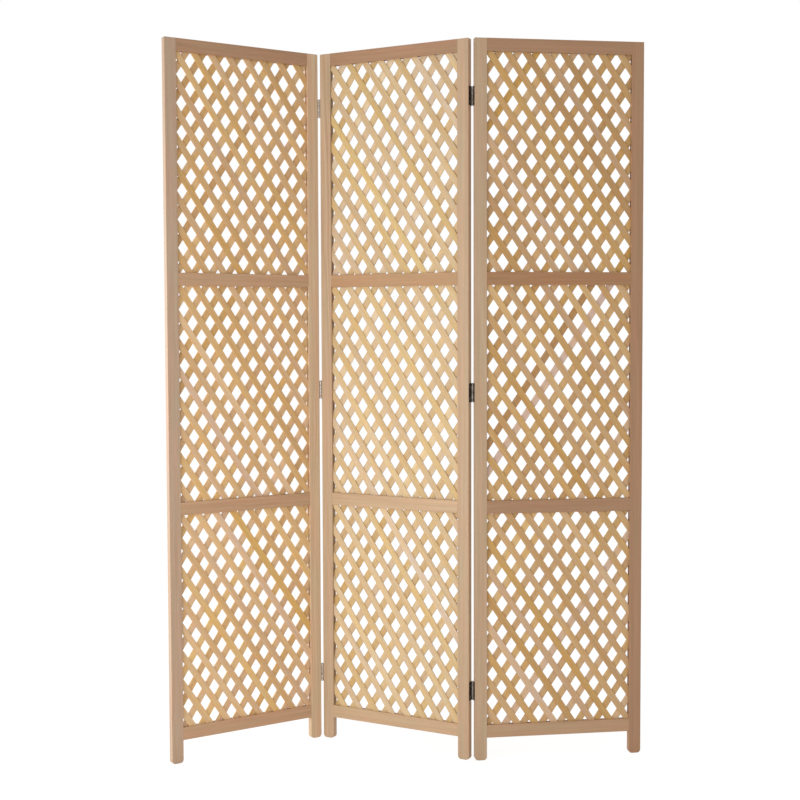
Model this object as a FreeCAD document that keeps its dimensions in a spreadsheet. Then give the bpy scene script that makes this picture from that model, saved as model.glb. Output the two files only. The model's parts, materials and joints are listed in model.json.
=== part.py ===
import FreeCAD, Part
import math
import os

import Sketcher
from FreeCAD import Placement, Rotation, Vector

# A folding room screen: three wooden panels, hinged edge to edge. Each panel is a frame of two stiles
# and four rails, with a lattice of crossed slats held in grooves in its three openings.
# Millimetres. +Z is up, the front faces -Y, and the origin is on the floor, under the middle of the
# screen's box as it stands half folded.
# In a panel's own frame X runs along the panel from left to right, Y from its front face to its back,
# and Z up from the floor.

document = FreeCAD.newDocument("folding_lattice_screen")
sheet = document.addObject("Spreadsheet::Sheet", "sizes")

SIZES = (
    # the panels
    ("screen_height", 1800.0),
    ("panel_width", 432.0),
    ("frame_depth", 16.0),
    ("stile_width", 31.0),
    ("rail_height", 32.0),
    ("leg_length", 57.0),
    # where the two middle rails are, from the bottom rail's middle to the top rail's
    ("upper_rail_share", 0.6651),
    ("lower_rail_share", 0.3314),
    ("foot_round", 9.0),
    ("top_round", 2.0),
    ("edge_ease", 0.8),
    ("groove_depth", 6.0),
    # the lattice
    ("slat_width", 17.0),
    ("slat_thickness", 3.0),
    ("column_pitch", 47.9),
    ("row_pitch", 70.9),
    # how much a row of crossings climbs to the right, as a share of its run
    ("row_climb_share", 0.0118),
    ("slat_end_play", 0.5),
    ("slat_face_play", 0.1),
    ("least_slat_showing", 3.0),
    # the dowels in the rail ends
    ("dowel_width", 8.0),
    ("dowel_length", 30.0),
    ("dowel_side_play", 0.05),
    ("dowel_end_play", 0.5),
    # the hinges
    ("panel_gap", 4.5),
    ("hinge_pin_proud", 1.75),
    ("hinge_height", 47.0),
    ("top_hinge_drop", 140.0),
    ("bottom_hinge_level", 175.0),
    # where the middle hinge is, from the bottom hinge to the top one
    ("middle_hinge_share", 0.5064),
    ("leaf_width", 14.0),
    ("leaf_thickness", 1.0),
    ("knuckle_count", 5.0),
    ("knuckle_end_play", 0.2),
    ("knuckle_side_play", 0.3),
    ("pin_width", 2.5),
    ("pin_play", 0.05),
    ("pin_head_width", 3.9),
    ("pin_head_height", 0.6),
    # the hinge screws
    ("screw_width", 2.8),
    ("screw_head_width", 5.0),
    ("screw_length", 14.0),
    ("screw_spacing", 28.0),
    ("screw_play", 0.05),
    ("screw_end_play", 0.5),
    ("slot_width", 0.7),
    ("slot_depth", 0.4),
    # how far each fold stands from flat, and the middle panel's turn from straight across, in degrees
    ("left_fold_degrees", 63.0),
    ("right_fold_degrees", 38.0),
    ("middle_turn_degrees", 29.5),
    # how far past a face each cut runs
    ("overrun", 1.0),
)

PANELS = ("left", "middle", "right")
SECTIONS = ("upper", "central", "lower")

# Two places nearer than this share of the screen's height are the same place.
SAME_PLACE_SHARE = 1e-6

# Each lattice section is cut from a larger sheet, so its first crossing lies hidden behind the frame:
# this share of the column pitch past the left stile's inner edge, and this share of the row pitch
# above the rail's lower edge.
COLUMN_SHARES = {"left": (0.16, 0.14, 0.13), "middle": (0.09, 0.11, 0.115), "right": (0.11, 0.13, 0.17)}
ROW_SHARES = {"left": (0.20, 0.165, 0.165), "middle": (0.17, 0.16, 0.18), "right": (0.20, 0.175, 0.25)}


def fill_sheet():
    """Write every driving size to the sheet, one row each, with its name as alias. Give the names."""
    rows = list(SIZES)
    for panel in PANELS:
        for section, column_share, row_share in zip(SECTIONS, COLUMN_SHARES[panel], ROW_SHARES[panel]):
            rows.append((panel + "_" + section + "_column_share", column_share))
            rows.append((panel + "_" + section + "_row_share", row_share))
    for number, (name, value) in enumerate(rows, start=1):
        sheet.set("A%d" % number, name)
        sheet.set("B%d" % number, str(value))
        sheet.setAlias("B%d" % number, name)
    document.recompute()
    return {name for name, value in rows}


ALIASES = fill_sheet()


def size(name):
    return float(sheet.get(name))


def in_sheet(words):
    """An expression in which each word that is an alias becomes its cell."""
    spaced = words.replace("(", "( ").replace(")", " )").split()
    return " ".join("sizes." + word if word in ALIASES else word for word in spaced)


def bind(target, prop, words):
    """Tie a property to the sheet."""
    target.setExpression(prop, in_sheet(words))


def worth(words):
    """The value of an expression in the sheet's names."""
    value = sheet.evalExpression(in_sheet(words))
    return float(getattr(value, "Value", value))


def same_place(one, other):
    return abs(one - other) < SAME_PLACE_SHARE * size("screen_height")


# Sketches and bodies

def new_body(label):
    body = document.addObject("PartDesign::Body", label)
    body.Label = label
    return body


def origin_part(body, role):
    return next(item for item in body.Origin.OriginFeatures if item.Role == role)


def new_sketch(body, name, plane, offset=None):
    """A sketch on one of the body's own planes, moved along the plane's normal by offset."""
    sketch = body.newObject("Sketcher::SketchObject", name)
    sketch.AttachmentSupport = [(origin_part(body, plane), "")]
    sketch.MapMode = "FlatFace"
    if offset:
        bind(sketch, "AttachmentOffset.Base.z", offset)
    return sketch


def place_point(sketch, line, end, across, along):
    """Tie one end of a line to two expressions, measured from the sketch's origin."""
    for kind, words in (("DistanceX", across), ("DistanceY", along)):
        if same_place(worth(words), 0):
            axis = -2 if kind == "DistanceX" else -1
            sketch.addConstraint(Sketcher.Constraint("PointOnObject", line, end, axis))
        else:
            index = sketch.addConstraint(Sketcher.Constraint(kind, -1, 1, line, end, worth(words)))
            bind(sketch, "Constraints[%d]" % index, words)


def draw_outline(sketch, corners):
    """A closed outline of straight lines through corners, each a pair of expressions."""
    places = [Vector(worth(across), worth(along), 0) for across, along in corners]
    first = sketch.GeometryCount
    count = len(corners)
    for number in range(count):
        sketch.addGeometry(Part.LineSegment(places[number], places[(number + 1) % count]))
    for number in range(count):
        following = first + (number + 1) % count
        sketch.addConstraint(Sketcher.Constraint("Coincident", first + number, 2, following, 1))
    for number, (across, along) in enumerate(corners):
        place_point(sketch, first + number, 1, across, along)


def draw_rectangle(sketch, left, low, right, high):
    draw_outline(sketch, ((left, low), (right, low), (right, high), (left, high)))


def draw_circle(sketch, across, along, radius):
    circle = sketch.addGeometry(Part.Circle(Vector(0, 0, 0), Vector(0, 0, 1), size("overrun")))
    place_point(sketch, circle, 3, across, along)
    index = sketch.addConstraint(Sketcher.Constraint("Radius", circle, size("overrun")))
    bind(sketch, "Constraints[%d]" % index, radius)


def pad(body, name, sketch, length, reverse=False):
    feature = body.newObject("PartDesign::Pad", name)
    feature.Profile = sketch
    bind(feature, "Length", length)
    feature.Reversed = reverse
    document.recompute()
    return feature


def pocket(body, name, sketch, depth=None, reverse=False):
    """Cut the sketch to a depth, or both ways through everything. It must remove some wood."""
    before = body.Shape.Volume
    feature = body.newObject("PartDesign::Pocket", name)
    feature.Profile = sketch
    if depth:
        bind(feature, "Length", depth)
        feature.Reversed = reverse
    else:
        feature.Type = "ThroughAll"
        feature.Midplane = True
    document.recompute()
    if not body.Shape.Volume < before:
        raise ValueError(body.Label + ": " + name + " cuts nothing")
    return feature


def round_edges(body, name, base, radius, wanted):
    """Round the edges of base for which wanted(edge) is true."""
    names = ["Edge%d" % (number + 1) for number, edge in enumerate(base.Shape.Edges) if wanted(edge)]
    feature = body.newObject("PartDesign::Fillet", name)
    feature.Base = (base, names)
    bind(feature, "Radius", radius)
    document.recompute()
    return feature


def lies_at(edge, axis, place):
    """True if the whole edge lies in the plane axis = place."""
    box = edge.BoundBox
    low, high = {"x": (box.XMin, box.XMax), "y": (box.YMin, box.YMax), "z": (box.ZMin, box.ZMax)}[axis]
    return same_place(low, place) and same_place(high, place)


# Where the pieces are in a panel

LOWEST_RAIL = "( leg_length + rail_height / 2 )"
RAIL_CLIMB = "( screen_height - leg_length - rail_height )"
RAIL_CENTRES = {
    "top_rail": "( screen_height - rail_height / 2 )",
    "upper_middle_rail": "( " + LOWEST_RAIL + " + upper_rail_share * " + RAIL_CLIMB + " )",
    "lower_middle_rail": "( " + LOWEST_RAIL + " + lower_rail_share * " + RAIL_CLIMB + " )",
    "bottom_rail": LOWEST_RAIL,
}
SECTION_RAILS = {
    "upper": ("upper_middle_rail", "top_rail"),
    "central": ("lower_middle_rail", "upper_middle_rail"),
    "lower": ("bottom_rail", "lower_middle_rail"),
}
HINGE_CLIMB = "( screen_height - top_hinge_drop - bottom_hinge_level )"
HINGE_LEVELS = {
    "top": "( screen_height - top_hinge_drop )",
    "middle": "( bottom_hinge_level + middle_hinge_share * " + HINGE_CLIMB + " )",
    "bottom": "bottom_hinge_level",
}
GROOVE_FRONT = "( frame_depth / 2 - slat_thickness - slat_face_play )"
GROOVE_BACK = "( frame_depth / 2 + slat_thickness + slat_face_play )"


def section_bottom(section):
    return "( " + RAIL_CENTRES[SECTION_RAILS[section][0]] + " + rail_height / 2 )"


def section_top(section):
    return "( " + RAIL_CENTRES[SECTION_RAILS[section][1]] + " - rail_height / 2 )"


def grouped(label, items):
    """Several like pieces, each a solid of its own, as one sub-part."""
    group = document.addObject("Part::Compound", label)
    group.Label = label
    group.Links = items
    return group


# The frames

def make_stile(label, hinged):
    """A stile with its inner face at x = 0, where the grooves and the dowel holes are."""
    body = new_body(label)
    section = new_sketch(body, label + "_section", "XY_Plane")
    draw_rectangle(section, "0", "0", "stile_width", "frame_depth")
    bar = pad(body, label + "_bar", section, "screen_height")

    def runs_through(edge, level):
        return lies_at(edge, "z", level) and edge.BoundBox.YLength > size("frame_depth") / 2

    foot = round_edges(body, label + "_foot", bar, "foot_round", lambda edge: runs_through(edge, 0))
    top = round_edges(body, label + "_top", foot, "top_round",
                      lambda edge: runs_through(edge, size("screen_height")))
    round_edges(body, label + "_eased", top, "edge_ease",
                lambda edge: lies_at(edge, "y", 0) or lies_at(edge, "y", size("frame_depth")))

    grooves = new_sketch(body, label + "_grooves", "YZ_Plane")
    for section_name in SECTIONS:
        draw_rectangle(grooves, GROOVE_FRONT, section_bottom(section_name) + " - groove_depth",
                       GROOVE_BACK, section_top(section_name) + " + groove_depth")
    pocket(body, label + "_grooved", grooves, "groove_depth", reverse=True)

    holes = new_sketch(body, label + "_dowel_holes", "YZ_Plane")
    for level in RAIL_CENTRES.values():
        draw_circle(holes, "frame_depth / 2", level, "dowel_width / 2 + dowel_side_play")
    pocket(body, label + "_drilled", holes, "dowel_length / 2 + dowel_end_play", reverse=True)

    if hinged:
        pilots = new_sketch(body, label + "_screw_holes", "YZ_Plane", offset="stile_width")
        for level in HINGE_LEVELS.values():
            for side in ("+", "-"):
                draw_circle(pilots, "frame_depth / 2", level + " " + side + " screw_spacing / 2",
                            "screw_width / 2 + screw_play")
        pocket(body, label + "_piloted", pilots, "screw_length - leaf_thickness + screw_end_play")
    return body


def make_rail(label, groove_below, groove_above):
    """A rail from x = 0 to the far stile, with a groove along each edge that meets a lattice."""
    body = new_body(label)
    section = new_sketch(body, label + "_section", "YZ_Plane")
    draw_rectangle(section, "0", "0", "frame_depth", "rail_height")
    bar = pad(body, label + "_bar", section, "panel_width - 2 * stile_width")
    round_edges(body, label + "_eased", bar, "edge_ease",
                lambda edge: edge.BoundBox.XLength > size("stile_width"))

    grooves = new_sketch(body, label + "_grooves", "YZ_Plane")
    if groove_below:
        draw_rectangle(grooves, GROOVE_FRONT, "0 - overrun", GROOVE_BACK, "groove_depth")
    if groove_above:
        draw_rectangle(grooves, GROOVE_FRONT, "rail_height - groove_depth",
                       GROOVE_BACK, "rail_height + overrun")
    pocket(body, label + "_grooved", grooves)

    for end, offset in (("left", None), ("right", "panel_width - 2 * stile_width")):
        hole = new_sketch(body, label + "_" + end + "_hole", "YZ_Plane", offset=offset)
        draw_circle(hole, "frame_depth / 2", "rail_height / 2", "dowel_width / 2 + dowel_side_play")
        pocket(body, label + "_" + end + "_drilled", hole, "dowel_length / 2 + dowel_end_play",
               reverse=(end == "left"))
    return body


def make_dowels(label):
    """A dowel in each end of each rail, half in the rail and half in the stile."""
    dowels = []
    for rail, level in RAIL_CENTRES.items():
        for end, joint in (("left", "stile_width"), ("right", "panel_width - stile_width")):
            dowel = document.addObject("Part::Cylinder", label + "_" + rail + "_" + end)
            bind(dowel, "Radius", "dowel_width / 2")
            bind(dowel, "Height", "dowel_length")
            centre = Vector(worth(joint + " - dowel_length / 2"), size("frame_depth") / 2, worth(level))
            dowel.Placement = Placement(centre, Rotation(Vector(0, 1, 0), 90))
            dowels.append(dowel)
    return grouped(label, dowels)


# The lattices

def make_slats(label, panel, section, layer):
    """One layer of parallel slats, cut to the opening and to the groove's depth round it.

    The local frame starts at the lower left corner of the cut sheet, on the layer's front face.
    The front layer's slats fall to the right, and the back layer's rise to the right.
    """
    reach = "( groove_depth - slat_end_play )"
    wide = "( panel_width - 2 * stile_width + 2 * " + reach + " )"
    high = "( " + section_top(section) + " - " + section_bottom(section) + " + 2 * " + reach + " )"
    share = "%s_%s_" % (panel, section)
    start = "( " + reach + " - " + share + "column_share * column_pitch )"
    crown = "( " + high + " - " + reach + " + " + share + "row_share * row_pitch )"

    # The rows climb to the right, so the slats that fall that way stand wider apart than those that rise.
    lean = 1 if layer == "front" else -1
    spacing = "( column_pitch / ( 1 - %d * row_climb_share * column_pitch / row_pitch ) )" % lean
    pitch, rise = worth(spacing), size("row_pitch")
    half = size("slat_width") / 2 * math.hypot(pitch, rise) / rise
    run = worth(crown + " - " + reach) * pitch / rise
    drop = size(share + "row_share") * pitch
    near = worth(reach) + size("least_slat_showing") - half - worth(start)
    far = worth(wide + " - " + reach) - size("least_slat_showing") + half - worth(start)
    if layer == "front":
        first, last = math.ceil((near - run) / pitch), math.floor((far - drop) / pitch)
    else:
        first, last = math.ceil((near + drop) / pitch), math.floor((far + run) / pitch)

    # The slat's centre line passes the crown level at "top" and the sheet's lower edge at "bottom".
    slope = spacing + " / row_pitch"
    half_across = "slat_width / 2 * sqrt( %s ^ 2 + row_pitch ^ 2 ) / row_pitch" % spacing
    top = "%s + %d * %s - %d * overrun * %s" % (start, first, spacing, lean, slope)
    bottom = "%s + %d * %s + %d * ( %s + overrun ) * %s" % (start, first, spacing, lean, crown, slope)
    body = new_body(label)
    strip = new_sketch(body, label + "_strip", "XZ_Plane")
    draw_outline(strip, (
        (bottom + " - " + half_across, "0 - overrun"),
        (bottom + " + " + half_across, "0 - overrun"),
        (top + " + " + half_across, crown + " + overrun"),
        (top + " - " + half_across, crown + " + overrun"),
    ))
    slat = pad(body, label + "_slat", strip, "slat_thickness", reverse=True)

    row = body.newObject("PartDesign::LinearPattern", label + "_row")
    row.Originals = [slat]
    row.Direction = (origin_part(body, "X_Axis"), [""])
    row.Occurrences = last - first + 1
    bind(row, "Length", "%d * %s" % (last - first, spacing))
    body.Tip = row
    document.recompute()

    trim = new_sketch(body, label + "_trim", "XZ_Plane")
    draw_rectangle(trim, "0 - 2 * " + crown, "0 - 2 * " + crown, "3 * " + crown, "3 * " + crown)
    draw_rectangle(trim, "0", "0", wide, high)
    pocket(body, label + "_trimmed", trim)
    return body


# The hinges

def part_object(kind, label, sizes, place=None):
    """A primitive whose sizes are bound to expressions."""
    item = document.addObject("Part::" + kind, label)
    for prop, words in sizes.items():
        bind(item, prop, words)
    if place:
        item.Placement = place
    return item


def joined(kind, label, shapes):
    item = document.addObject("Part::" + kind, label)
    item.Shapes = shapes
    return item


def cut_away(label, base, tool):
    item = document.addObject("Part::Cut", label)
    item.Base = base
    item.Tool = tool
    return item


def make_leaf(label, owns_ends):
    """One hinge leaf, with the hinge's axis on Z and its middle at the origin.

    The plate lies against the stile's edge, on the +X side, and runs towards -Y. Its inner edge curls
    round the pin in knuckles: the leaf that owns the ends has the first, third and fifth.
    """
    half_gap = size("panel_gap") / 2
    half_height = size("hinge_height") / 2
    gap_side = half_gap - size("leaf_thickness")
    back = size("hinge_pin_proud") + size("leaf_width")
    plate = part_object("Box", label + "_plate", {
        "Length": "leaf_thickness", "Width": "hinge_pin_proud + leaf_width", "Height": "hinge_height",
    }, Placement(Vector(gap_side, -back, -half_height), Rotation()))
    barrel = part_object("Cylinder", label + "_barrel", {
        "Radius": "panel_gap / 2", "Height": "hinge_height",
    }, Placement(Vector(0, 0, -half_height), Rotation()))
    whole = joined("MultiFuse", label + "_whole", [plate, barrel])

    tools = [part_object("Cylinder", label + "_bore", {
        "Radius": "pin_width / 2 + pin_play", "Height": "hinge_height + 2 * overrun",
    }, Placement(Vector(0, 0, -half_height - size("overrun")), Rotation()))]

    count = int(size("knuckle_count"))
    knuckle = size("hinge_height") / count
    for number in range(count):
        if (number % 2 == 0) == owns_ends:
            continue
        below = "overrun" if number == 0 else "knuckle_end_play / 2"
        above = "overrun" if number == count - 1 else "knuckle_end_play / 2"
        low = -half_height + number * knuckle - worth(below)
        tools.append(part_object("Box", label + "_gap_%d" % number, {
            "Length": "panel_gap + 2 * overrun",
            "Width": "panel_gap + knuckle_side_play + overrun",
            "Height": "hinge_height / knuckle_count + " + below + " + " + above,
        }, Placement(Vector(-half_gap - size("overrun"), -half_gap - size("knuckle_side_play"), low),
                     Rotation())))

    for side in (1, -1):
        centre = Vector(gap_side, -worth("hinge_pin_proud + frame_depth / 2"),
                        side * size("screw_spacing") / 2)
        tools.append(part_object("Cone", label + "_sink_%d" % (side + 1), {
            "Radius1": "screw_head_width / 2 + screw_play", "Radius2": "screw_width / 2 + screw_play",
            "Height": "leaf_thickness",
        }, Placement(centre, Rotation(Vector(0, 1, 0), 90))))
    leaf = cut_away(label, whole, joined("MultiFuse", label + "_cuts", tools))
    leaf.Label = label
    return leaf


def make_pin(label):
    """A hinge pin with a flat head at each end, its middle at the origin."""
    half_height = size("hinge_height") / 2
    shaft = part_object("Cylinder", label + "_shaft", {
        "Radius": "pin_width / 2", "Height": "hinge_height",
    }, Placement(Vector(0, 0, -half_height), Rotation()))
    heads = [part_object("Cylinder", label + "_head_" + end, {
        "Radius": "pin_head_width / 2", "Height": "pin_head_height",
    }, Placement(Vector(0, 0, low), Rotation()))
        for end, low in (("top", half_height), ("foot", -half_height - size("pin_head_height")))]
    return joined("MultiFuse", label, [shaft] + heads)


def make_screw(label):
    """A countersunk wood screw along +X, its head flush with a leaf's gap side at x = 0."""
    along = Rotation(Vector(0, 1, 0), 90)
    head = part_object("Cone", label + "_head", {
        "Radius1": "screw_head_width / 2", "Radius2": "screw_width / 2", "Height": "leaf_thickness",
    }, Placement(Vector(0, 0, 0), along))
    shank = part_object("Cylinder", label + "_shank", {
        "Radius": "screw_width / 2", "Height": "screw_length",
    }, Placement(Vector(0, 0, 0), along))
    slot = part_object("Box", label + "_slot", {
        "Length": "slot_depth + overrun", "Width": "screw_head_width + 2 * overrun", "Height": "slot_width",
    }, Placement(Vector(-size("overrun"), -worth("screw_head_width / 2 + overrun"),
                        -size("slot_width") / 2), Rotation()))
    return cut_away(label, joined("MultiFuse", label + "_blank", [head, shank]), slot)


# How the panels stand

def turned(degrees):
    return Rotation(Vector(0, 0, 1), degrees)


def pinned(axis_in_room, axis_in_panel, degrees):
    """Where a panel stands if it is turned by degrees and its hinge axis is at axis_in_room."""
    return Placement(axis_in_room - turned(degrees).multVec(axis_in_panel), turned(degrees))


def stand_panels():
    """Each panel's placement at rest, with the floor's origin under the middle of the screen's box."""
    width, depth = size("panel_width"), size("frame_depth")
    half_gap, proud = size("panel_gap") / 2, size("hinge_pin_proud")
    middle = Placement(Vector(0, 0, 0), turned(-size("middle_turn_degrees")))
    left_axis = middle.multVec(Vector(-half_gap, -proud, 0))
    right_axis = middle.multVec(Vector(width + half_gap, depth + proud, 0))
    places = {
        "left": pinned(left_axis, Vector(width + half_gap, -proud, 0),
                       size("left_fold_degrees") - size("middle_turn_degrees")),
        "middle": middle,
        "right": pinned(right_axis, Vector(-half_gap, depth + proud, 0),
                        size("right_fold_degrees") - size("middle_turn_degrees")),
    }
    corners = [place.multVec(Vector(x, y, 0))
               for place in places.values() for x in (0, width) for y in (0, depth)]
    centre = Vector(
        (min(corner.x for corner in corners) + max(corner.x for corner in corners)) / 2,
        (min(corner.y for corner in corners) + max(corner.y for corner in corners)) / 2, 0)
    for place in places.values():
        place.Base = place.Base - centre
    return places, left_axis - centre, right_axis - centre


PLACES, LEFT_AXIS, RIGHT_AXIS = stand_panels()
pieces = []


def put(piece, panel, offset=Vector(0, 0, 0), rotation=Rotation()):
    """Stand a finished sub-part in its panel and keep it for export."""
    piece.Placement = PLACES[panel].multiply(Placement(offset, rotation))
    pieces.append(piece)


def build_panel(panel):
    name = panel + "_panel_"
    width, stile = size("panel_width"), size("stile_width")

    # A left stile is the same bar turned half round, so that its grooves face right.
    put(make_stile(name + "left_stile", panel != "left"), panel,
        Vector(stile, size("frame_depth"), 0), turned(180))
    put(make_stile(name + "right_stile", panel != "right"), panel, Vector(width - stile, 0, 0))

    for rail, level in RAIL_CENTRES.items():
        bar = make_rail(name + rail, rail != "bottom_rail", rail != "top_rail")
        put(bar, panel, Vector(stile, 0, worth(level + " - rail_height / 2")))
    put(make_dowels(name + "dowels"), panel)

    reach = worth("groove_depth - slat_end_play")
    for section in SECTIONS:
        low = worth(section_bottom(section)) - reach
        for layer, front in (("front", size("frame_depth") / 2 - size("slat_thickness")),
                             ("back", size("frame_depth") / 2)):
            label = name + section + "_lattice_" + layer + "_slats"
            put(make_slats(label, panel, section, layer), panel, Vector(stile - reach, front, low))


# A leaf's plate lies towards +X and -Y from the hinge axis. Turned about one of its own axes it
# serves the other three stile edges. Each entry: the panel, the turn, and who owns the end knuckles.
HINGES = {
    "left": (
        ("left", Rotation(Vector(0, 0, 1), 180), False),
        ("middle", Rotation(Vector(1, 0, 0), 180), True),
    ),
    "right": (
        ("right", Rotation(), False),
        ("middle", Rotation(Vector(0, 1, 0), 180), True),
    ),
}


def axis_in_panel(joint, panel):
    """A hinge axis in a panel's own frame, at floor level."""
    room = LEFT_AXIS if joint == "left" else RIGHT_AXIS
    return PLACES[panel].inverse().multVec(room)


def build_hinges(joint):
    pins = []
    for where, level in HINGE_LEVELS.items():
        height = Vector(0, 0, worth(level))
        for panel, turn, owns_ends in HINGES[joint]:
            leaf = make_leaf("%s_joint_%s_hinge_%s_leaf" % (joint, where, panel), owns_ends)
            put(leaf, panel, axis_in_panel(joint, panel) + height, turn)
        pin = make_pin("%s_joint_%s_pin" % (joint, where))
        pin.Placement = Placement(axis_in_panel(joint, "middle") + height, Rotation())
        pins.append(pin)
    put(grouped(joint + "_joint_hinge_pins", pins), "middle")

    for panel, turn, _ in HINGES[joint]:
        screws = []
        for level in HINGE_LEVELS.values():
            for side in (1, -1):
                seat = Vector(worth("panel_gap / 2 - leaf_thickness"),
                              -worth("hinge_pin_proud + frame_depth / 2"), 0)
                height = Vector(0, 0, worth(level) + side * size("screw_spacing") / 2)
                number = len(screws) + 1
                screw = make_screw("%s_joint_%s_screw_%d" % (joint, panel, number))
                base = axis_in_panel(joint, panel) + height + turn.multVec(seat)
                screw.Placement = Placement(base, turn)
                screws.append(screw)
        put(grouped("%s_joint_%s_screws" % (joint, panel), screws), panel)


for panel_name in PANELS:
    build_panel(panel_name)
for joint_name in HINGES:
    build_hinges(joint_name)
document.recompute()

for item in document.Objects:
    if "Invalid" in item.State or "Error" in item.State:
        raise ValueError(item.Label + " failed: " + str(item.State))
for piece in pieces:
    if piece.Shape.isNull() or not piece.Shape.isValid():
        raise ValueError(piece.Label + " has no valid shape")

os.makedirs("parts", exist_ok=True)
for piece in pieces:
    piece.Shape.exportStep(os.path.join("parts", piece.Label + ".step"))
    print(piece.Label, len(piece.Shape.Solids), "solids, volume %.1f" % piece.Shape.Volume)
print("hinge axes", LEFT_AXIS, RIGHT_AXIS)
print(len(pieces), "pieces")
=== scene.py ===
import json
import math
import random

import bmesh
import bpy
from mathutils import Color, Matrix, Vector


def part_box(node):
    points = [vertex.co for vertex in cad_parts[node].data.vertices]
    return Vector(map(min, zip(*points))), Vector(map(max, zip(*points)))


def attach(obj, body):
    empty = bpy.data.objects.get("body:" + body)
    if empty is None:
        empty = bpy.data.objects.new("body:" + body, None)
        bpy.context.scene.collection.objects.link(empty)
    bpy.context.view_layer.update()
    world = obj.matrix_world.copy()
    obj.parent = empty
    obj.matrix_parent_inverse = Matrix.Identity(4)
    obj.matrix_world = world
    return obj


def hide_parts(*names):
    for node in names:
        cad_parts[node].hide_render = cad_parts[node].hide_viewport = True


# The looks of a three-panel folding lattice screen in bare light wood. Metres, in the frame of the packed
# part: +Z up, the front faces -Y. In a panel's own frame X runs along it from its left end, Y from its front
# face to its back and Z up from the floor.

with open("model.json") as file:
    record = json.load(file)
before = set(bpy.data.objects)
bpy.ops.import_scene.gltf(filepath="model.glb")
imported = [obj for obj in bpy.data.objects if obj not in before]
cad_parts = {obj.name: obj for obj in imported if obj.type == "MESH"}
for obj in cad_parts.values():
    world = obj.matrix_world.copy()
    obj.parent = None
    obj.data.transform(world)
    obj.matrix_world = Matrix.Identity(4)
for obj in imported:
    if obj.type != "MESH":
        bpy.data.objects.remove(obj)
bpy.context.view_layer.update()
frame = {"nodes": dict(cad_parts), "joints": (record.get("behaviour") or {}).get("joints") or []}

PANELS = ("left", "middle", "right")
SECTIONS = ("upper", "central", "lower")
RAILS = ("top_rail", "upper_middle_rail", "lower_middle_rail", "bottom_rail")
STILES = ("left_stile", "right_stile")

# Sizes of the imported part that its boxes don't give
STILE_WIDTH = 0.031
FRAME_DEPTH = 0.016
COLUMN_PITCH = 0.0479
ROW_PITCH = 0.0709
ROW_CLIMB_SHARE = 0.0118
SLAT_WIDTH = 0.017
SLAT_THICKNESS = 0.003

# The photograph's camera
CAMERA_PLACE = (-0.02523, -3.60648, 1.09007)
CAMERA_YAW_DEGREES = 0.1442
CAMERA_PITCH_DEGREES = -2.9429
CAMERA_ROLL_DEGREES = -0.1834
CAMERA_LENS_MM = 63.5515
CAMERA_SENSOR_MM = 36.0


def srgb(red, green, blue):
    """A colour given as it looks on a screen, from 0 to 255, as linear values."""
    color = Color((red / 255, green / 255, blue / 255)).from_srgb_to_scene_linear()
    return (color.r, color.g, color.b, 1.0)


# Places

def middle_of(node):
    low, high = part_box(node)
    return (low + high) / 2


def panel_place(panel):
    """The matrix that takes a panel's own frame to the room."""
    left, right = (middle_of(panel + "_panel_" + side) for side in STILES)
    turn = Matrix.Rotation(math.atan2(right.y - left.y, right.x - left.x), 4, "Z")
    corner = Vector((left.x, left.y, 0)) - turn @ Vector((STILE_WIDTH / 2, FRAME_DEPTH / 2, 0))
    return Matrix.Translation(corner) @ turn


PLACES = {panel: panel_place(panel) for panel in PANELS}


# Material nodes

class Sheet:
    """A short way to write a material's nodes."""

    def __init__(self, name):
        self.material = bpy.data.materials.new(name)
        self.material.use_nodes = True
        self.tree = self.material.node_tree
        self.shader = self.tree.nodes["Principled BSDF"]
        self.output = self.tree.nodes["Material Output"]

    def add(self, kind, settings=None, **inputs):
        """Add a node. Inputs are given by their name, with _ for a space, as a value or another socket."""
        made = self.tree.nodes.new("ShaderNode" + kind)
        for key, value in (settings or {}).items():
            setattr(made, key, value)
        for key, value in inputs.items():
            self.set(made.inputs[key.replace("_", " ")], value)
        return made

    def set(self, socket, value):
        if isinstance(value, bpy.types.NodeSocket):
            self.tree.links.new(value, socket)
        else:
            socket.default_value = value

    def math(self, operation, *values):
        made = self.tree.nodes.new("ShaderNodeMath")
        made.operation = operation
        for socket, value in zip(made.inputs, values):
            self.set(socket, value)
        return made.outputs[0]

    def mix(self, share, one, other, blend="MIX"):
        made = self.tree.nodes.new("ShaderNodeMix")
        made.data_type = "RGBA"
        made.blend_type = blend
        made.clamp_factor = True
        self.set(made.inputs[0], share)
        self.set(made.inputs[6], one)
        self.set(made.inputs[7], other)
        return made.outputs[2]

    def noise(self, place, scale, detail=2.0, roughness=0.5):
        return self.add("TexNoise", {"noise_dimensions": "3D"}, Vector=place, Scale=scale, Detail=detail,
                        Roughness=roughness).outputs["Fac"]

    def stretch(self, place, across, through, along):
        """Scale a place by a factor on each axis."""
        made = self.add("VectorMath", {"operation": "MULTIPLY"})
        self.set(made.inputs[0], place)
        made.inputs[1].default_value = (across, through, along)
        return made.outputs[0]

    def spread(self, value, low, high):
        """Map 0..1 to low..high."""
        return self.add("MapRange", Value=value, To_Min=low, To_Max=high).outputs[0]

    def finish(self, base, bump=None, bump_height=0.0, **sockets):
        """Set the shader's sockets. Roughness may be linked; the rest are plain values."""
        self.set(self.shader.inputs["Base Color"], base)
        for key, value in sockets.items():
            self.set(self.shader.inputs[key.replace("_", " ")], value)
        if bump is not None:
            relief = self.add("Bump", Height=bump, Distance=bump_height, Strength=1.0)
            self.set(self.shader.inputs["Normal"], relief.outputs[0])
        return self.material


# Wood

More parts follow.
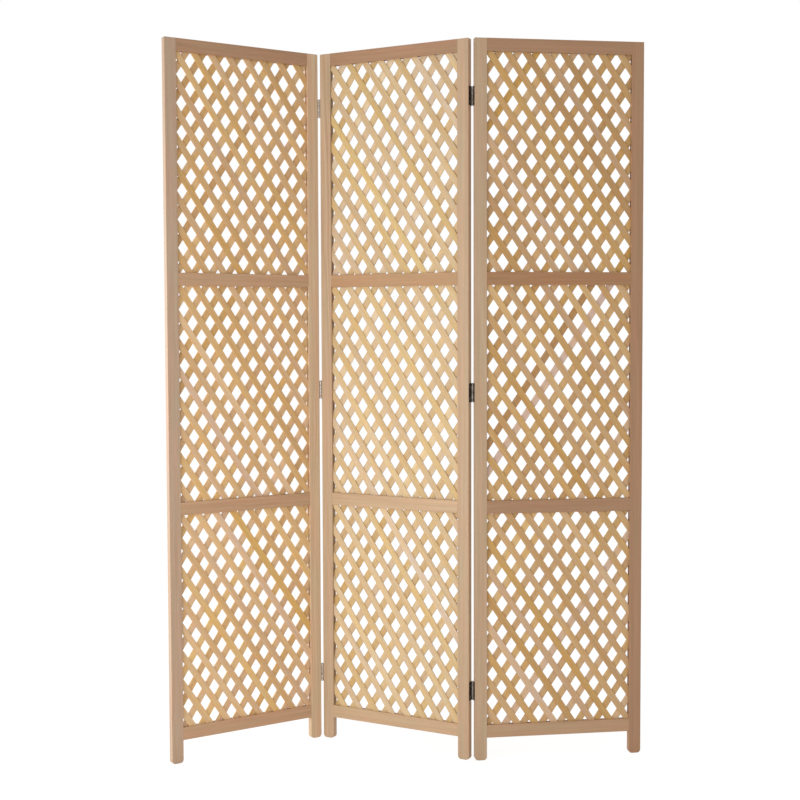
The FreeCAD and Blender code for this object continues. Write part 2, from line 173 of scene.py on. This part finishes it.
# How large the figure's features are across the grain, in the wood's depth and along the grain: slow bands
# of light and dark, grain lines, single fibres, drifts of colour and the wander of the growth rings
BAND_SIZE = (0.0085, 0.012, 0.55)
LINE_SIZE = (0.0028, 0.0034, 0.13)
FIBRE_SIZE = (0.00032, 0.00032, 0.014)
TINT_SIZE = (0.018, 0.040, 0.16)
SLAT_TINT_SIZE = (0.014, 0.030, 0.055)
RING_WANDER_SIZE = (0.07, 0.07, 0.45)
# How much bands, lines and fibres lighten and darken the wood, as shares of 1
BAND_STRENGTH = 0.16
LINE_STRENGTH = 0.17
FIBRE_STRENGTH = 0.07
RING_WIDTH = 0.0034
RING_CURVE = 0.030
RING_WANDER = 0.024
RING_CLIMB_SHARE = 0.012
FIBRE_RELIEF = 0.00010
# Darker streaks are also redder: red, green and blue follow the light by these powers.
STREAK_POWERS = (0.85, 1.05, 1.25)
# The noise between two tints is stretched past 0 and 1, so that most of the wood has one or the other.
TINT_RANGE = (-0.7, 1.7)


def finer(sizes):
    return [1 / size for size in sizes]


def ring_figure(sheet, place):
    """Growth rings cut along their length: uneven lines that close into tall arches where they wander."""
    wander = sheet.noise(sheet.stretch(place, *finer(RING_WANDER_SIZE)), 1.0, 2.0)
    parts = sheet.add("SeparateXYZ", Vector=place)
    across = sheet.math("ADD", parts.outputs[0], sheet.spread(wander, -RING_WANDER, RING_WANDER))
    depth = sheet.math("ADD", parts.outputs[1], RING_CURVE)
    reach = sheet.math("SQRT", sheet.math("ADD", sheet.math("MULTIPLY", across, across),
                                          sheet.math("MULTIPLY", depth, depth)))
    climb = sheet.math("ADD", reach, sheet.math("MULTIPLY", parts.outputs[2], RING_CLIMB_SHARE))
    line = sheet.add("TexNoise", {"noise_dimensions": "1D"}, W=sheet.math("MULTIPLY", climb, 1 / RING_WIDTH),
                     Scale=1.0, Detail=2.0, Roughness=0.6)
    return line.outputs["Fac"]


def wood_pattern(sheet, place, ring_strength):
    """How light the wood is, around 1, and its fibres. The place has the grain on Z and the depth on Y."""
    band = sheet.noise(sheet.stretch(place, *finer(BAND_SIZE)), 1.0, 2.0)
    line = sheet.noise(sheet.stretch(place, *finer(LINE_SIZE)), 1.0, 3.0, 0.6)
    fibre = sheet.noise(sheet.stretch(place, *finer(FIBRE_SIZE)), 1.0, 2.0)
    light = sheet.math("ADD", sheet.spread(band, 1 - BAND_STRENGTH, 1 + BAND_STRENGTH),
                       sheet.spread(line, -LINE_STRENGTH, LINE_STRENGTH))
    light = sheet.math("ADD", light, sheet.spread(fibre, -FIBRE_STRENGTH, FIBRE_STRENGTH))
    light = sheet.math("ADD", light, sheet.spread(ring_figure(sheet, place), -ring_strength, ring_strength))
    return light, fibre


def tinted(sheet, place, base, light, warm, cool, sizes):
    """The base colour made lighter and darker, and drifting slowly between two tints."""
    tint = sheet.noise(sheet.stretch(place, *finer(sizes)), 1.0, 2.0)
    drift = sheet.mix(sheet.spread(tint, *TINT_RANGE), warm, cool)
    streaks = sheet.add("CombineColor")
    for socket, power in zip(streaks.inputs[:3], STREAK_POWERS):
        sheet.set(socket, sheet.math("POWER", light, power))
    shade = sheet.mix(1.0, drift, streaks.outputs[0], "MULTIPLY")
    return sheet.mix(1.0, base, shade, "MULTIPLY")


def panel_coordinates(sheet, place, shift, upright):
    """The place in a panel's own frame, with the grain on Z: up a stile, or along a rail."""
    here = sheet.add("TexCoord").outputs["Object"]
    turn = place.to_euler().z
    local = sheet.add("Mapping", {"vector_type": "TEXTURE"}, Vector=here, Location=place.to_translation(),
                      Rotation=(0.0, 0.0, turn)).outputs[0]
    parts = sheet.add("SeparateXYZ", Vector=local)
    across, along = (0, 2) if upright else (2, 0)
    joined = sheet.add("CombineXYZ")
    sheet.set(joined.inputs[0], parts.outputs[across])
    sheet.set(joined.inputs[1], parts.outputs[1])
    sheet.set(joined.inputs[2], parts.outputs[along])
    moved = sheet.add("VectorMath", {"operation": "ADD"})
    sheet.set(moved.inputs[0], joined.outputs[0])
    moved.inputs[1].default_value = shift
    return moved.outputs[0]


WARM_TINT = (1.05, 0.965, 0.95, 1.0)
COOL_TINT = (0.955, 1.005, 0.99, 1.0)
FRAME_ROUGHNESS = (0.50, 0.66)
FRAME_SPECULAR = 0.4


def frame_wood(name, place, shift, upright, tone, ring_strength):
    """The bare, fine-grained wood of one stile or rail."""
    sheet = Sheet(name)
    local = panel_coordinates(sheet, place, shift, upright)
    light, fibre = wood_pattern(sheet, local, ring_strength)
    base = tinted(sheet, local, tone, light, WARM_TINT, COOL_TINT, TINT_SIZE)
    return sheet.finish(base, fibre, FIBRE_RELIEF, Roughness=sheet.spread(fibre, *FRAME_ROUGHNESS),
                        Specular_IOR_Level=FRAME_SPECULAR)


GOLD_TINT = (1.035, 0.98, 0.83, 1.0)
CREAM_TINT = (0.97, 1.01, 1.17, 1.0)
SLAT_FIGURE = 0.05
SLAT_ROUGHNESS = (0.44, 0.60)
SLAT_SPECULAR = 0.5


def slat_wood(name):
    """The slats' wood. Each slat carries its own colour and its own place in the grain."""
    sheet = Sheet(name)
    place = sheet.add("Attribute", {"attribute_name": "grain"}).outputs["Vector"]
    color = sheet.add("Attribute", {"attribute_name": "slat_colour"}).outputs["Color"]
    light, fibre = wood_pattern(sheet, place, SLAT_FIGURE)
    base = tinted(sheet, place, color, light, GOLD_TINT, CREAM_TINT, SLAT_TINT_SIZE)
    return sheet.finish(base, fibre, FIBRE_RELIEF, Roughness=sheet.spread(fibre, *SLAT_ROUGHNESS),
                        Specular_IOR_Level=SLAT_SPECULAR)


# The frames

TONES = {
    "light": srgb(212, 182, 149),
    "cream": srgb(203, 172, 138),
    "pale": srgb(196, 167, 136),
    "grey": srgb(188, 160, 135),
    "tan": srgb(192, 155, 122),
    "amber": srgb(189, 149, 111),
    "brown": srgb(176, 137, 106),
    "russet": srgb(173, 129, 92),
}
# Each panel's stiles from left to right, then its rails from the top down
PIECE_TONES = {
    "left": ("grey", "light", "brown", "tan", "tan", "tan"),
    "middle": ("pale", "pale", "brown", "amber", "cream", "cream"),
    "right": ("pale", "brown", "brown", "russet", "brown", "tan"),
}
# How far each piece's place in the grain may be moved: across the grain, in its depth and along it
GRAIN_SHIFTS = (0.02, 0.01, 0.9)
# How strong the growth rings are: clear on the pieces named here, and faint on all others
CLEAR_FIGURE = 0.20
FAINT_FIGURE = 0.07
ARCHED = ("left_panel_right_stile", "middle_panel_left_stile", "left_panel_top_rail",
          "right_panel_upper_middle_rail")


def set_material(node, material):
    """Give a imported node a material."""
    shown = frame["nodes"][node]
    if not shown.data.materials:
        shown.data.materials.append(material)
    for slot in shown.material_slots:
        slot.material = material


def dress_frames():
    """Give each stile and rail its own wood. The grain of a rail runs along it, about its middle."""
    number = 0
    for panel in PANELS:
        for member, tone in zip(STILES + RAILS, PIECE_TONES[panel]):
            number += 1
            draw = random.Random(number)
            node = panel + "_panel_" + member
            upright = member in STILES
            shift = [draw.uniform(-most, most) for most in GRAIN_SHIFTS]
            if not upright:
                shift[0] -= middle_of(node).z
            figure = CLEAR_FIGURE if node in ARCHED else FAINT_FIGURE
            set_material(node, frame_wood(node + "_wood", PLACES[panel], shift, upright, TONES[tone],
                                          figure))


# The lattices

# Each panel's slat colour. The middle panel's paler, creamier colour is partly painted sheen, and the right
# panel's darker colour is partly painted shade.
SLAT_COLORS = {
    "left": srgb(217, 178, 128),
    "middle": srgb(214, 184, 138),
    "right": srgb(207, 167, 115),
}
# The upper sections of the outer panels are darker, and their lower ones lighter: painted shade and painted
# light, for light that falls off towards the top of the outer panels
SECTION_PAINTED_LIGHT = {
    "left": {"upper": 0.945, "central": 0.99, "lower": 1.03},
    "middle": {"upper": 1.0, "central": 1.005, "lower": 1.0},
    "right": {"upper": 0.945, "central": 0.985, "lower": 1.03},
}
# How much single slats differ in tone, where a darker slat is also a deeper yellow, and from golden to grey
TONE_SPREAD = {"front": 0.046, "back": 0.078}
# A greyer slat is bluer, and this share as much greener.
GRAY_SPREAD = 0.11
GRAY_GREEN_SHARE = 0.10
SPREAD_SHARES = {"left": 1.0, "middle": 0.9, "right": 1.35}
TONE_POWERS = (0.9, 1.4, 2.6)
# How far the slats reach into the frame's grooves
SLAT_REACH = 0.0045
SLAT_EDGE = 0.0006
EDGE_STEPS = 3
SLAT_STATIONS = 12
SLAT_GRAIN_SHIFTS = (0.01, 0.01, 9)
CORNER_MARGIN = 0.0003
OFFSET_JITTER = 0.0006
ANGLE_JITTER = 0.0022
BOW_JITTER = 0.0004
WIDTH_JITTER = 0.0003
SLAT_SHRINKAGE = 0.0002
MERGE_DISTANCE = 1e-6
WIDTH_TOLERANCE = 1e-4
FIRST_SEED = 101
LAYER_FRONTS = {"front": FRAME_DEPTH / 2 - SLAT_THICKNESS, "back": FRAME_DEPTH / 2}


def opening(panel, section, inward):
    """The corners of a section's opening in the panel's X and Z, made larger all round by inward."""
    below, above = {"upper": (1, 0), "central": (2, 1), "lower": (3, 2)}[section]
    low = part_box(panel + "_panel_" + RAILS[below])[1].z
    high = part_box(panel + "_panel_" + RAILS[above])[0].z
    into = PLACES[panel].inverted()
    left, right = ((into @ middle_of(panel + "_panel_" + side)).x for side in STILES)
    return (left + STILE_WIDTH / 2 - inward, low - inward), (right - STILE_WIDTH / 2 + inward, high + inward)


def slat_spacing(falls):
    """How far apart a layer's slats stand along X. The rows of crossings climb to the right."""
    climb = ROW_CLIMB_SHARE if falls else -ROW_CLIMB_SHARE
    return COLUMN_PITCH / (1 - climb * COLUMN_PITCH / ROW_PITCH)


def slat_offsets(node, place, across, spacing):
    """How far each slat's middle line lies from the panel's origin, measured square to the slats."""
    work = bmesh.new()
    work.from_mesh(frame["nodes"][node].data)
    bmesh.ops.remove_doubles(work, verts=work.verts, dist=MERGE_DISTANCE)
    into = place.inverted()
    spans = []
    left = set(work.verts)
    while left:
        front = [left.pop()]
        found = []
        while front:
            vertex = front.pop()
            found.append(into @ vertex.co)
            for edge in vertex.link_edges:
                other = edge.other_vert(vertex)
                if other in left:
                    left.remove(other)
                    front.append(other)
        offsets = [point.x * across.x + point.z * across.y for point in found]
        spans.append((min(offsets), max(offsets)))
    work.free()
    spans.sort()
    whole = [number for number, (least, most) in enumerate(spans)
             if abs(most - least - SLAT_WIDTH) < WIDTH_TOLERANCE]
    known = whole[len(whole) // 2]
    pitch = spacing * ROW_PITCH / math.hypot(spacing, ROW_PITCH)
    return [sum(spans[known]) / 2 + (number - known) * pitch for number in range(len(spans))]


def slat_section(width):
    """The outline of a slat's cross-section with eased edges, as (across, through) from its middle."""
    points = []
    for side, (x, y) in enumerate(((1, 1), (-1, 1), (-1, -1), (1, -1))):
        for step in range(EDGE_STEPS + 1):
            angle = math.pi / 2 * (side + step / EDGE_STEPS)
            points.append((x * (width / 2 - SLAT_EDGE) + SLAT_EDGE * math.cos(angle),
                           y * (SLAT_THICKNESS / 2 - SLAT_EDGE) + SLAT_EDGE * math.sin(angle)))
    return points


def clip_line(offset, across, along, low, high):
    """The part of a line, square to across at offset, that lies in a rectangle, as (start, end) or None."""
    start, end = -math.inf, math.inf
    for axis in (0, 1):
        base = offset * across[axis]
        one, other = sorted(((low[axis] - base) / along[axis], (high[axis] - base) / along[axis]))
        start, end = max(start, one), min(end, other)
    return (start, end) if end > start else None


def add_slat(work, layers, offset, across, along, low, high, middle_y, draw, color):
    """Add one slat to the mesh: a long, slightly bent bar with eased edges, cut to the rectangle."""
    grain_layer, color_layer = layers
    corners = [x * across.x + z * across.y for x in (low[0], high[0]) for z in (low[1], high[1])]
    least, most = min(corners) + CORNER_MARGIN, max(corners) - CORNER_MARGIN
    offset += draw.gauss(0, OFFSET_JITTER)
    turn = draw.gauss(0, ANGLE_JITTER)
    bow = draw.gauss(0, BOW_JITTER)
    width = SLAT_WIDTH - SLAT_SHRINKAGE + draw.gauss(0, WIDTH_JITTER)
    shift = Vector([draw.uniform(-far, far) for far in SLAT_GRAIN_SHIFTS])
    whole = clip_line(min(max(offset, least), most), across, along, low, high)
    centre, half = (whole[0] + whole[1]) / 2, (whole[1] - whole[0]) / 2
    rows = []
    for aside, depth in slat_section(width):
        line = min(max(offset + aside, least), most)
        start, end = clip_line(line, across, along, low, high)
        row = []
        for station in range(SLAT_STATIONS + 1):
            run = start + (end - start) * station / SLAT_STATIONS
            share = (run - centre) / half
            sway = turn * (run - centre) + bow * (1 - share * share)
            place = across * (line + sway) + along * run
            vertex = work.verts.new((place.x, middle_y + depth, place.y))
            vertex[grain_layer] = Vector((line - offset, depth, run)) + shift
            vertex[color_layer] = color
            row.append(vertex)
        rows.append(row)
    count = len(rows)
    for number in range(count):
        one, other = rows[number], rows[(number + 1) % count]
        eased = (number + 1) % (EDGE_STEPS + 1) != 0
        for station in range(SLAT_STATIONS):
            face = work.faces.new((one[station], one[station + 1], other[station + 1], other[station]))
            face.smooth = eased
    work.faces.new([row[0] for row in rows])
    work.faces.new([row[-1] for row in reversed(rows)])


def slat_color(panel, section, layer, draw):
    """The colour of one slat, with the painted light and shade of its panel and section."""
    share = SPREAD_SHARES[panel]
    # The section's factor is painted light: darker at the top of the outer panels and lighter at their foot.
    tone = draw.gauss(1, TONE_SPREAD[layer] * share) * SECTION_PAINTED_LIGHT[panel][section]
    gray = draw.gauss(0, GRAY_SPREAD * share)
    red, green, blue = (channel * tone ** power for channel, power in zip(SLAT_COLORS[panel], TONE_POWERS))
    return (red, green * (1 + GRAY_GREEN_SHARE * gray), blue * (1 + gray), 1.0)


def make_slats(panel, section, layer, material, seed):
    """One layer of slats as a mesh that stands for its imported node."""
    node = "%s_panel_%s_lattice_%s_slats" % (panel, section, layer)
    place = PLACES[panel]
    falls = layer == "front"
    spacing = slat_spacing(falls)
    run = math.hypot(spacing, ROW_PITCH)
    along = Vector((spacing, -ROW_PITCH if falls else ROW_PITCH)) / run
    across = Vector((ROW_PITCH, spacing if falls else -spacing)) / run
    low, high = opening(panel, section, SLAT_REACH)
    draw = random.Random(seed)
    work = bmesh.new()
    layers = (work.verts.layers.float_vector.new("grain"), work.verts.layers.float_color.new("slat_colour"))
    for offset in slat_offsets(node, place, across, spacing):
        add_slat(work, layers, offset, across, along, low, high,
                 LAYER_FRONTS[layer] + SLAT_THICKNESS / 2, draw, slat_color(panel, section, layer, draw))
    bmesh.ops.recalc_face_normals(work, faces=work.faces)
    mesh = bpy.data.meshes.new("%s_%s_%s_slats" % (panel, section, layer))
    work.to_mesh(mesh)
    work.free()
    mesh.materials.append(material)
    piece = bpy.data.objects.new(mesh.name, mesh)
    bpy.context.scene.collection.objects.link(piece)
    piece.matrix_world = place
    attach(piece, panel + "_panel")
    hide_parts(node)


def make_lattices():
    material = slat_wood("slat_wood")
    seed = FIRST_SEED
    for panel in PANELS:
        for section in SECTIONS:
            for layer in LAYER_FRONTS:
                make_slats(panel, section, layer, material, seed)
                seed += 1


# The hinges

LEAF_BRONZE = srgb(48, 34, 20)
# A barrel's lighter bronze is partly its own worn colour and partly painted sheen. Screws use it as their
# plain colour.
BARREL_BRONZE_AND_SHEEN = srgb(132, 114, 102)
# Grey metal where the bronze is worn through; on the barrels its patches are partly painted glints.
RUBBED_METAL_AND_GLINT = srgb(222, 212, 200)
PIN_METAL = srgb(150, 142, 132)
WEAR_SIZE = 0.0030
SCRATCH_SIZE = (0.0009, 0.0009, 0.006)
# How far from a pin's middle line its barrel's colour reaches, and how soft that edge is
BARREL_REACH = 0.0027
BARREL_EDGE = 0.0003
# The share of worn grey metal runs over this range, is cut off at 0 and 1, and is thinned by scratches.
WEAR_RANGE = (-1.9, 2.3)
# A barrel gets this much more grey metal, partly wear and partly painted glints.
BARREL_WEAR_AND_GLINT = 0.45
PIN_WEAR = 0.2
SCREW_WEAR = -0.2
SCRATCH_RANGE = (0.55, 1.25)
SCRATCH_RELIEF = 0.00004
BRONZE_ROUGHNESS = (0.55, 0.32)
BRONZE_METALLIC = 0.35


def near_pin(sheet, place, pin):
    """1 on a hinge's barrel and 0 away from it."""
    parts = sheet.add("SeparateXYZ", Vector=place)
    aside = [sheet.math("SUBTRACT", parts.outputs[axis], pin[axis]) for axis in (0, 1)]
    reach = sheet.math("SQRT", sheet.math("ADD", sheet.math("MULTIPLY", aside[0], aside[0]),
                                          sheet.math("MULTIPLY", aside[1], aside[1])))
    made = sheet.add("MapRange", Value=reach, From_Min=BARREL_REACH, From_Max=BARREL_REACH - BARREL_EDGE)
    return made.outputs[0]


def bronze(name, dark, pin=None, wear=0.0):
    """Old bronze, worn down in patches to grey metal. On a leaf, which has a pin, only its barrel is worn,
    and the barrel's lighter bronze and grey patches are partly painted sheen and glints.
    """
    sheet = Sheet(name)
    here = sheet.add("TexCoord").outputs["Object"]
    cloud = sheet.noise(here, 1 / WEAR_SIZE, 4.0, 0.65)
    scratch = sheet.noise(sheet.stretch(here, *finer(SCRATCH_SIZE)), 1.0, 3.0, 0.7)
    worn_and_glint = sheet.spread(cloud, WEAR_RANGE[0] + wear, WEAR_RANGE[1] + wear)
    if pin is not None:
        barrel = near_pin(sheet, here, pin)
        # On the barrel, the lighter bronze and the extra grey metal are partly painted sheen and glints.
        more = sheet.math("ADD", worn_and_glint, sheet.math("MULTIPLY", barrel, BARREL_WEAR_AND_GLINT))
        worn_and_glint = sheet.math("MULTIPLY", more, barrel)
        dark = sheet.mix(barrel, dark, BARREL_BRONZE_AND_SHEEN)
    worn_and_glint = sheet.math("MULTIPLY", sheet.math("MINIMUM", worn_and_glint, 1.0), sheet.spread(scratch, *SCRATCH_RANGE))
    base = sheet.mix(worn_and_glint, dark, RUBBED_METAL_AND_GLINT)
    return sheet.finish(base, scratch, SCRATCH_RELIEF, Roughness=sheet.spread(cloud, *BRONZE_ROUGHNESS),
                        Metallic=BRONZE_METALLIC)


def dress_hinges():
    """Leaves, pins and screws. A joint's place is the middle line of its pins."""
    pins = {joint["name"].split("_")[0]: joint["pos_m"] for joint in frame["joints"]}
    leaves = {side: bronze(side + "_hinge_bronze", LEAF_BRONZE, pin) for side, pin in pins.items()}
    steel = bronze("pin_steel", PIN_METAL, wear=PIN_WEAR)
    screw = bronze("screw_bronze", BARREL_BRONZE_AND_SHEEN, wear=SCREW_WEAR)
    for node in frame["nodes"]:
        side = node.split("_")[0]
        if node.endswith("_leaf"):
            set_material(node, leaves[side])
        elif node.endswith("_pins"):
            set_material(node, steel)
        elif node.endswith("_screws"):
            set_material(node, screw)


def dress_dowels():
    for panel in PANELS:
        node = panel + "_panel_dowels"
        set_material(node, frame_wood(node + "_wood", PLACES[panel], (0.0, 0.0, 0.0), False, TONES["pale"],
                                      FAINT_FIGURE))


# The room

FLOOR_RADIUS = 14.0
FLOOR_SIDES = 96
FLOOR_COLOR = srgb(246, 246, 245)
FLOOR_ROUGHNESS = 0.9
# To the camera and in reflections, the floor shows this share of a plain glow, so that it is white and keeps
# the screen's shadow
FLOOR_GLOW_SHARE = 0.8
FLOOR_GLOW = 1.12
SKY_STRENGTH = 0.61
KEY_PLACE = (-1.35, -1.75, 0.85)
KEY_TARGET = (-0.1, 0.0, 0.90)
KEY_SIZE = (1.3, 1.3)
KEY_POWER = 19.0
RIM_PLACE = (-2.9, 0.5, 1.0)
RIM_TARGET = (-0.1, 0.0, 0.95)
RIM_SIZE = (1.0, 1.4)
RIM_POWER = 40.0


def make_floor():
    """A wide round floor of white paint."""
    work = bmesh.new()
    bmesh.ops.create_circle(work, cap_ends=True, radius=FLOOR_RADIUS, segments=FLOOR_SIDES)
    mesh = bpy.data.meshes.new("floor")
    work.to_mesh(mesh)
    work.free()
    floor = bpy.data.objects.new("floor", mesh)
    bpy.context.scene.collection.objects.link(floor)
    sheet = Sheet("floor_paint")
    paint = sheet.finish(FLOOR_COLOR, Roughness=FLOOR_ROUGHNESS, Specular_IOR_Level=0.0)
    glow = sheet.add("Emission", Color=(1, 1, 1, 1), Strength=FLOOR_GLOW)
    rays = sheet.add("LightPath")
    seen = sheet.math("MAXIMUM", rays.outputs["Is Camera Ray"], rays.outputs["Is Glossy Ray"])
    both = sheet.add("MixShader")
    sheet.set(both.inputs[0], sheet.math("MULTIPLY", seen, FLOOR_GLOW_SHARE))
    sheet.set(both.inputs[1], sheet.shader.outputs[0])
    sheet.set(both.inputs[2], glow.outputs[0])
    sheet.set(sheet.output.inputs["Surface"], both.outputs[0])
    mesh.materials.append(paint)


def make_world():
    """Soft light from all sides, and plain white where the background is seen."""
    world = bpy.data.worlds.new("studio")
    bpy.context.scene.world = world
    world.use_nodes = True
    tree = world.node_tree
    tree.nodes.clear()
    soft, white = tree.nodes.new("ShaderNodeBackground"), tree.nodes.new("ShaderNodeBackground")
    soft.inputs["Color"].default_value = (1.0, 1.0, 1.0, 1.0)
    soft.inputs["Strength"].default_value = SKY_STRENGTH
    white.inputs["Color"].default_value = (1.0, 1.0, 1.0, 1.0)
    white.inputs["Strength"].default_value = 1.0
    rays = tree.nodes.new("ShaderNodeLightPath")
    seen = rays.outputs["Is Camera Ray"]
    for name in ("Is Glossy Ray", "Is Transmission Ray"):
        either = tree.nodes.new("ShaderNodeMath")
        either.operation = "MAXIMUM"
        tree.links.new(seen, either.inputs[0])
        tree.links.new(rays.outputs[name], either.inputs[1])
        seen = either.outputs[0]
    both = tree.nodes.new("ShaderNodeMixShader")
    tree.links.new(seen, both.inputs[0])
    tree.links.new(soft.outputs[0], both.inputs[1])
    tree.links.new(white.outputs[0], both.inputs[2])
    out = tree.nodes.new("ShaderNodeOutputWorld")
    tree.links.new(both.outputs[0], out.inputs["Surface"])


def make_lamp(name, place, target, size, power):
    """A soft box, turned towards a point of the screen."""
    lamp = bpy.data.lights.new(name, "AREA")
    lamp.shape = "RECTANGLE"
    lamp.size, lamp.size_y = size
    lamp.energy = power
    box = bpy.data.objects.new(name, lamp)
    box.location = place
    box.rotation_euler = (Vector(target) - Vector(place)).to_track_quat("-Z", "Y").to_euler()
    bpy.context.scene.collection.objects.link(box)


def make_camera():
    """The camera that the photograph was solved for."""
    lens = bpy.data.cameras.new("camera")
    lens.lens = CAMERA_LENS_MM
    lens.sensor_width = CAMERA_SENSOR_MM
    camera = bpy.data.objects.new("camera", lens)
    turn = (Matrix.Rotation(math.radians(-CAMERA_YAW_DEGREES), 4, "Z")
            @ Matrix.Rotation(math.radians(90 + CAMERA_PITCH_DEGREES), 4, "X")
            @ Matrix.Rotation(math.radians(CAMERA_ROLL_DEGREES), 4, "Z"))
    camera.matrix_world = Matrix.Translation(CAMERA_PLACE) @ turn
    bpy.context.scene.collection.objects.link(camera)
    bpy.context.scene.camera = camera


bpy.context.scene.view_settings.view_transform = "Standard"
make_camera()
make_world()
make_lamp("key", KEY_PLACE, KEY_TARGET, KEY_SIZE, KEY_POWER)
make_lamp("rim", RIM_PLACE, RIM_TARGET, RIM_SIZE, RIM_POWER)
make_floor()
dress_frames()
dress_dowels()
dress_hinges()
make_lattices()
